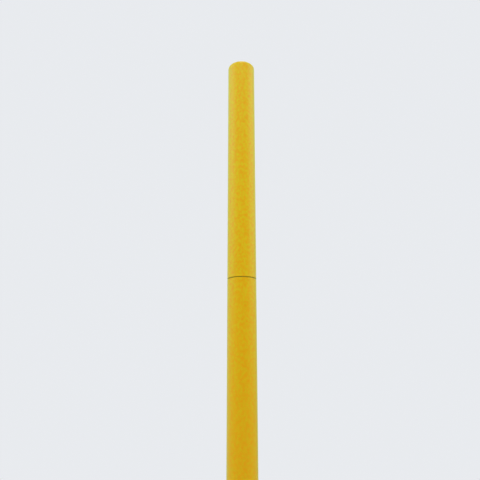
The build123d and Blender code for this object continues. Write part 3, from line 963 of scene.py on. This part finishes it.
# ---------------------------------------------------------------------------------------------
# Release sleeve: turned aluminium. Its cup holds the heads of the jaws, and its stem runs up through
# the spring and the cap to the knob.
CUP_LIP_R = 3.0 * MM
CUP_LIP = 0.7 * MM
CUP_CAVITY_R = 4.1 * MM
CUP_CAVITY = 1.4 * MM
CUP_FLOOR = 1.5 * MM
STEM_THREAD_R = 2.4 * MM
sleeve_low, sleeve_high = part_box("release_sleeve")
knob_low, knob_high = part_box("release_knob")
cup_r = sleeve_high.x
cavity_low = sleeve_low.z + CUP_LIP
cavity_high = cavity_low + CUP_CAVITY
cup_top = cavity_high + CUP_FLOOR
release_sleeve = turned("release_sleeve_cup", [
    (CUP_LIP_R, sleeve_low.z),
    (cup_r - 0.15 * MM, sleeve_low.z),
    (cup_r, sleeve_low.z + 0.15 * MM),
    (cup_r, cup_top - 0.15 * MM),
    (cup_r - 0.15 * MM, cup_top),
    (STEM_R, cup_top),
    (STEM_R, knob_low.z),
    (STEM_THREAD_R, knob_low.z),
    (STEM_THREAD_R, sleeve_high.z),
    (CORD_HOLE_R, sleeve_high.z),
    (CORD_HOLE_R, cavity_high),
    (CUP_CAVITY_R, cavity_high),
    (CUP_CAVITY_R, cavity_low),
    (CUP_LIP_R, cavity_low),
])
place_piece(release_sleeve, bright_metal, "release", "bright_metal", "release_sleeve")


# ---------------------------------------------------------------------------------------------
# Release knob: a fluted ring of red anodised aluminium screwed on the sleeve's stem. Lifting it with
# the fingertips opens the jaws and frees the cord.
KNOB_FLUTES = 24
FLUTE_R = 0.35 * MM
FLUTE_OFF = 0.12 * MM
knob_r = knob_high.x
release_knob = turned("release_knob_fluted", [
    (STEM_THREAD_R + BOND_GAP, knob_low.z),
    (knob_r - 0.4 * MM, knob_low.z),
    (knob_r, knob_low.z + 0.4 * MM),
    (knob_r, knob_high.z - 0.5 * MM),
    (knob_r - 0.15 * MM, knob_high.z - 0.15 * MM),
    (knob_r - 0.5 * MM, knob_high.z),
    (CORD_HOLE_R + 0.7 * MM, knob_high.z),
    (CORD_HOLE_R, knob_high.z - 0.8 * MM),
    (STEM_THREAD_R + BOND_GAP, knob_high.z - 0.8 * MM),
], steps=144)
start_piece()
bpy.ops.mesh.primitive_cylinder_add(
    vertices=16,
    radius=FLUTE_R,
    depth=2 * (knob_high.z - knob_low.z),
    location=(knob_r + FLUTE_OFF, 0, (knob_low.z + knob_high.z) / 2),
)
flute = finish_piece(bpy.context.object, "flute_cutter")
step = 2 * math.pi / KNOB_FLUTES
take_away(release_knob, [flute] + [copy_of(flute, turn=step * index) for index in range(1, KNOB_FLUTES)])
red_anodised = turned_metal(
    "red_anodised_knob", (0.50, 0.035, 0.025), (0.40, 0.028, 0.022), (0.72, 0.55, 0.52), 0.30, 0.5
)
place_piece(release_knob, red_anodised, "release", "knob_finish", "release_knob")


# ---------------------------------------------------------------------------------------------
# Lock jaws: three thirds of one hardened steel collet, slit apart. Teeth in the bore bite the cord,
# the cone closes them, and their heads hang in the release sleeve's cup.
JAWS = 3
JAW_SLIT = 0.4 * MM
JAW_MEAN_R = 2.3 * MM
JAW_NECK_R = 2.55 * MM
JAW_HOLE_R = CORD_R + 0.05 * MM
TOOTH_DEPTH = 0.2 * MM
TOOTH_PITCH = 1.0 * MM
TEETH = 7
jaw_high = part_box("lock_jaw_1")[1]
jaw_foot = jaw_top - JAW_LENGTH
head_foot = cavity_low + 0.1 * MM
head_r = jaw_high.x


def jaw_outline():
    """Half section of the collet: cone, neck and head outside, teeth inside."""
    teeth = []
    for tooth in reversed(range(TEETH)):
        low = jaw_foot + 0.6 * MM + tooth * TOOTH_PITCH
        teeth += [
            (JAW_HOLE_R, low + 0.8 * MM),
            (JAW_HOLE_R + TOOTH_DEPTH, low + 0.2 * MM),
            (JAW_HOLE_R, low),
        ]
    return [
        (JAW_HOLE_R, jaw_foot),
        (JAW_TOP_R - JAW_LENGTH * cone_slope, jaw_foot),
        (JAW_TOP_R, jaw_top),
        (JAW_NECK_R, jaw_top),
        (JAW_NECK_R, head_foot),
        (head_r - 0.1 * MM, head_foot),
        (head_r, head_foot + 0.1 * MM),
        (head_r, jaw_high.z - 0.1 * MM),
        (head_r - 0.1 * MM, jaw_high.z),
        (JAW_HOLE_R + 0.5 * MM, jaw_high.z),
        (JAW_HOLE_R + 0.5 * MM, jaw_top),
        (JAW_HOLE_R, jaw_top - 0.5 * MM),
        *teeth,
    ]


jaw_steel = turned_metal(
    "hardened_jaw_steel", (0.36, 0.36, 0.37), (0.22, 0.21, 0.20), (0.60, 0.60, 0.61), 0.30, 0.6
)
for number in range(1, JAWS + 1):
    jaw = turned(
        f"lock_jaw_toothed_{number}",
        jaw_outline(),
        steps=32,
        smooth_deg=20,
        middle=2 * math.pi / JAWS * (number - 1),
        sweep=2 * math.pi / JAWS - JAW_SLIT / JAW_MEAN_R,
    )
    place_piece(jaw, jaw_steel, f"jaw_{number}", "jaw_steel", f"lock_jaw_{number}")


# ---------------------------------------------------------------------------------------------
# Release spring: stainless wire wound in five turns round the stem, between the cup and the cap. It
# shortens when the knob is lifted.
WIRE_R = 0.35 * MM
SPRING_TURNS = 5
spring_r = 3.85 * MM
start_piece()
bpy.ops.mesh.primitive_circle_add(
    vertices=14,
    radius=WIRE_R,
    location=(spring_r, 0, cup_top + 0.05 * MM + WIRE_R),
    rotation=(math.pi / 2, 0, 0),
)
spring = bpy.context.object
bpy.ops.object.transform_apply(location=True, rotation=True, scale=True)
climb = cap_low.z - cup_top - 0.1 * MM - 2 * WIRE_R
apply_modifier(spring, "SCREW", axis="Z", angle=2 * math.pi, steps=48, render_steps=48,
               iterations=SPRING_TURNS, screw_offset=climb / SPRING_TURNS, use_smooth_shade=True)
bpy.ops.object.mode_set(mode="EDIT")
bpy.ops.mesh.select_all(action="SELECT")
bpy.ops.mesh.fill_holes(sides=0)
bpy.ops.mesh.normals_make_consistent(inside=False)
finish_piece(spring, "release_spring_wire", 40)


def spring_wire():
    """Bright stainless wire: drawn lines, a few dark drawing stains."""
    material, tree, shader = new_material("stainless_spring_wire", {"Metallic": 1.0})
    lines = noise(tree, object_place(tree, (1.0, 1.0, 3.0)), 2600.0, 3.0, 0.6)
    stain = span(tree, noise(tree, object_place(tree), 520.0, 3.0), (0.42, 0.68))
    tree.links.new(mix(tree, stain, (0.56, 0.56, 0.57), (0.36, 0.35, 0.34)), shader.inputs["Base Color"])
    tree.links.new(span(tree, lines, (0.3, 0.7), (0.20, 0.36)), shader.inputs["Roughness"])
    add_bump(tree, shader, lines, 0.15, 0.01 * MM)
    return material


spring.data.materials.append(spring_wire())
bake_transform(spring)
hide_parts("lock_spring")

# ---------------------------------------------------------------------------------------------
# Pull grip: a tube of the shaft's own diameter with a spun, closed end, nearly flat with a rounded
# rim, in the same powder coat. It sits on the sixth tube and slides up off the lock's spigot.
RIM_R = 1.6 * MM
CROWN = 0.4 * MM
END_WALL = 3.0 * MM

flat_r = shaft_r - RIM_R
crown_r = (flat_r**2 + CROWN**2) / (2 * CROWN)
crown_deg = math.degrees(math.asin(flat_r / crown_r))
rim = arc(flat_r, grip_high.z - CROWN - RIM_R, RIM_R, 0, 90)
crown = arc(0, grip_high.z - crown_r, crown_r, 90 - crown_deg, 90)
grip = turned("pull_grip", [
    (shaft_r - EDGE, grip_low.z),
    (shaft_r, grip_low.z + EDGE),
    *rim,
    *crown,
    (0, grip_high.z - END_WALL),
    (bore_r, grip_high.z - END_WALL),
    (bore_r, grip_low.z + EDGE),
    (bore_r + EDGE, grip_low.z),
])
place_piece(grip, powder_yellow, "grip", "grip_finish", "grip_tube")

# ---------------------------------------------------------------------------------------------
# Anchor plug and crimp: a grooved plug of black acetal bonded high in the grip, and the brass sleeve
# pressed on the cord's upper end, which pulls on the plug's shoulder.
anchor_low, anchor_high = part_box("anchor_plug")
top_crimp_low, top_crimp_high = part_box("anchor_crimp")
anchor_plug = turned("anchor_plug_turned", [
    (CORD_HOLE_R + 0.4 * MM, anchor_low.z),
    (bonded_r - 0.6 * MM, anchor_low.z),
    (bonded_r, anchor_low.z + 0.6 * MM),
    *glue_grooves(anchor_low.z, (4.0 * MM, 9.0 * MM), bonded_r),
    (bonded_r, anchor_high.z - 0.6 * MM),
    (bonded_r - 0.6 * MM, anchor_high.z),
    (CRIMP_HOLE_R, anchor_high.z),
    (CRIMP_HOLE_R, top_crimp_low.z - BOND_GAP),
    (CORD_HOLE_R, top_crimp_low.z - BOND_GAP),
    (CORD_HOLE_R, anchor_low.z + 0.4 * MM),
], steps=96)
plug_acetal = acetal("black_acetal_plug", (0.030, 0.030, 0.032), (0.18, 0.18, 0.18))
place_piece(anchor_plug, plug_acetal, "grip", "plug_plastic", "anchor_plug")
top_crimp = pressed_crimp("anchor_crimp_sleeve", top_crimp_low.z, top_crimp_high.z, (2.5 * MM, 5.5 * MM))
place_piece(top_crimp, crimp_brass, "grip", "crimp_brass", "anchor_crimp")


# ---------------------------------------------------------------------------------------------
# Stowed cord: the same braided cord from inside the lock, wound in close turns inside the grip, and
# back on the axis to its crimp. Its run between the lock and the coil lengthens when the grip is pulled.
COIL_TURNS = 12
COIL_POINTS = 12
COIL_MIDDLE_R = 4.4 * MM
coil_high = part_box("stowed_coil")[1]
tail_low, tail_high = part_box("cord_tail")
coil_first = tail_high.z + CORD_R
coil_last = tail_high.z + 26 * MM
point_r = COIL_MIDDLE_R / math.cos(math.pi / COIL_POINTS)

route = [(0, 0, tail_low.z), (0, 0, tail_low.z + 14 * MM), (0, 0, tail_high.z - 4 * MM)]
route += [(0.6 * MM, 0, coil_first - 1.2 * MM), (2.6 * MM, -1.0 * MM, coil_first - 0.3 * MM)]
for point in range(COIL_TURNS * COIL_POINTS + 1):
    turn = 2 * math.pi * point / COIL_POINTS
    climbed = coil_first + (coil_last - coil_first) * point / (COIL_TURNS * COIL_POINTS)
    route.append((point_r * math.cos(turn), point_r * math.sin(turn), climbed))
route += [(2.6 * MM, 1.0 * MM, coil_last + 0.4 * MM), (0.6 * MM, 0, coil_last + 1.4 * MM)]
route += [(0, 0, coil_last + 4 * MM), (0, 0, anchor_low.z - 4 * MM), (0, 0, coil_high.z)]

line = bpy.data.curves.new("cord_route", "CURVE")
line.dimensions = "3D"
spline = line.splines.new("NURBS")
spline.points.add(len(route) - 1)
for point, place in zip(spline.points, route):
    point.co = (*place, 1)
spline.order_u = 3
spline.use_endpoint_u = True
path = bpy.data.objects.new("cord_route", line)
bpy.context.scene.collection.objects.link(path)
stowed_cord = braided_cord("stowed_cord_braid", 0, spline.calc_length())
apply_modifier(stowed_cord, "CURVE", object=path, deform_axis="POS_Z")
bpy.data.objects.remove(path)
stowed_cord.data.materials.append(cord_fibre)
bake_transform(stowed_cord)
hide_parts("cord_tail", "stowed_coil")
